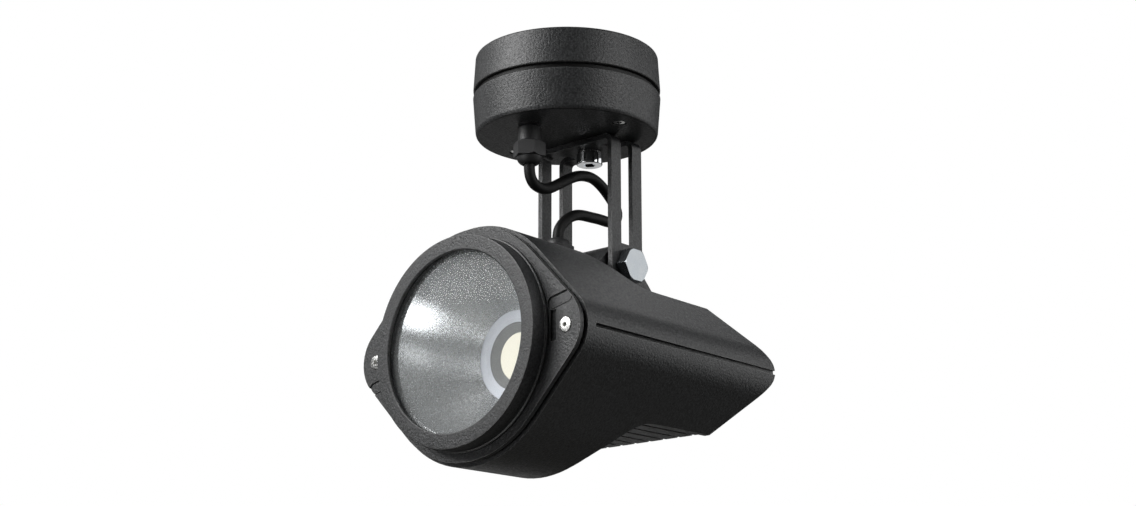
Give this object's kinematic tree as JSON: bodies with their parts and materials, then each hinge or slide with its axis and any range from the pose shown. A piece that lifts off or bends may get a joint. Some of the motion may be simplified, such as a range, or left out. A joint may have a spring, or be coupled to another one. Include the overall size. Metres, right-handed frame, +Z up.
{
  "type": "ceiling spotlight",
  "caption": "Round ceiling canopy with a slotted yoke that pans, and a tilting finned lamp with an eared front flange, glass and reflector.",
  "frame": {"origin": "centre of the canopy face that lies against the ceiling", "axes": "+Z up out of the ceiling face, -Y the way the lamp shines at rest, +X to the right seen from behind the lamp's glass"},
  "size_m": [0.1544, 0.1706, 0.2362],
  "materials": {
    "powder_coat": "fine-textured powder coat, very dark grey",
    "black_rubber": "matte",
    "black_nylon": "matte moulded nylon",
    "zinc_steel": "bright zinc plate",
    "chrome": "polished",
    "stainless": "satin stainless steel",
    "satin_aluminium": "satin, finely stippled",
    "clear_glass": "clear tempered glass",
    "white_plastic": "white moulded plastic",
    "grey_plastic": "grey moulded plastic",
    "ceramic": "ceramic board",
    "phosphor": "warm phosphor, lit",
    "thermal_pad": "matte"
  },
  "bodies": {
    "canopy": {"canopy_base": "powder_coat", "entry_grommet": "black_rubber", "canopy_gasket": "black_rubber", "canopy_cover": "powder_coat", "cover_screw_left": "stainless", "cover_screw_right": "stainless", "led_driver": "white_plastic", "terminal_block": "grey_plastic", "canopy_gland_body": "black_nylon", "canopy_gland_seal": "black_rubber", "canopy_gland_cap": "black_nylon", "gland_locknut": "black_nylon", "pan_bolt": "chrome", "pan_nut": "zinc_steel", "pan_friction_washer": "black_nylon", "pan_spring_washer": "stainless"},
    "yoke": {"yoke_bracket": "powder_coat", "pivot_bolt": "zinc_steel", "pivot_nut": "zinc_steel", "pivot_washer": "zinc_steel", "tilt_friction_washer_left": "black_nylon", "tilt_friction_washer_right": "black_nylon", "supply_cord": "black_rubber"},
    "lamp": {"lamp_housing": "powder_coat", "lamp_gland_body": "black_nylon", "lamp_gland_seal": "black_rubber", "lamp_gland_cap": "black_nylon", "front_flange": "powder_coat", "flange_gasket": "black_rubber", "flange_screw_left": "stainless", "flange_screw_right": "stainless", "bezel_ring": "powder_coat", "glass_gasket": "black_rubber", "front_glass": "clear_glass", "reflector": "satin_aluminium", "reflector_collar": "white_plastic", "led_holder": "grey_plastic", "holder_screw_left": "stainless", "holder_screw_right": "stainless", "led_board": "ceramic", "led_emitter": "phosphor", "thermal_pad": "thermal_pad"}
  },
  "joints": [
    {"name": "pan", "type": "hinge", "parent": "canopy", "child": "yoke", "pos_m": [0, 0.019, -0.0478], "axis": [0, 0, 1], "range_deg": [-75, 75], "deforming": ["supply_cord"]},
    {"name": "tilt", "type": "hinge", "parent": "yoke", "child": "lamp", "pos_m": [0, 0.019, -0.1199], "axis": [1, 0, 0], "range_deg": [-25, 60]}
  ]
}
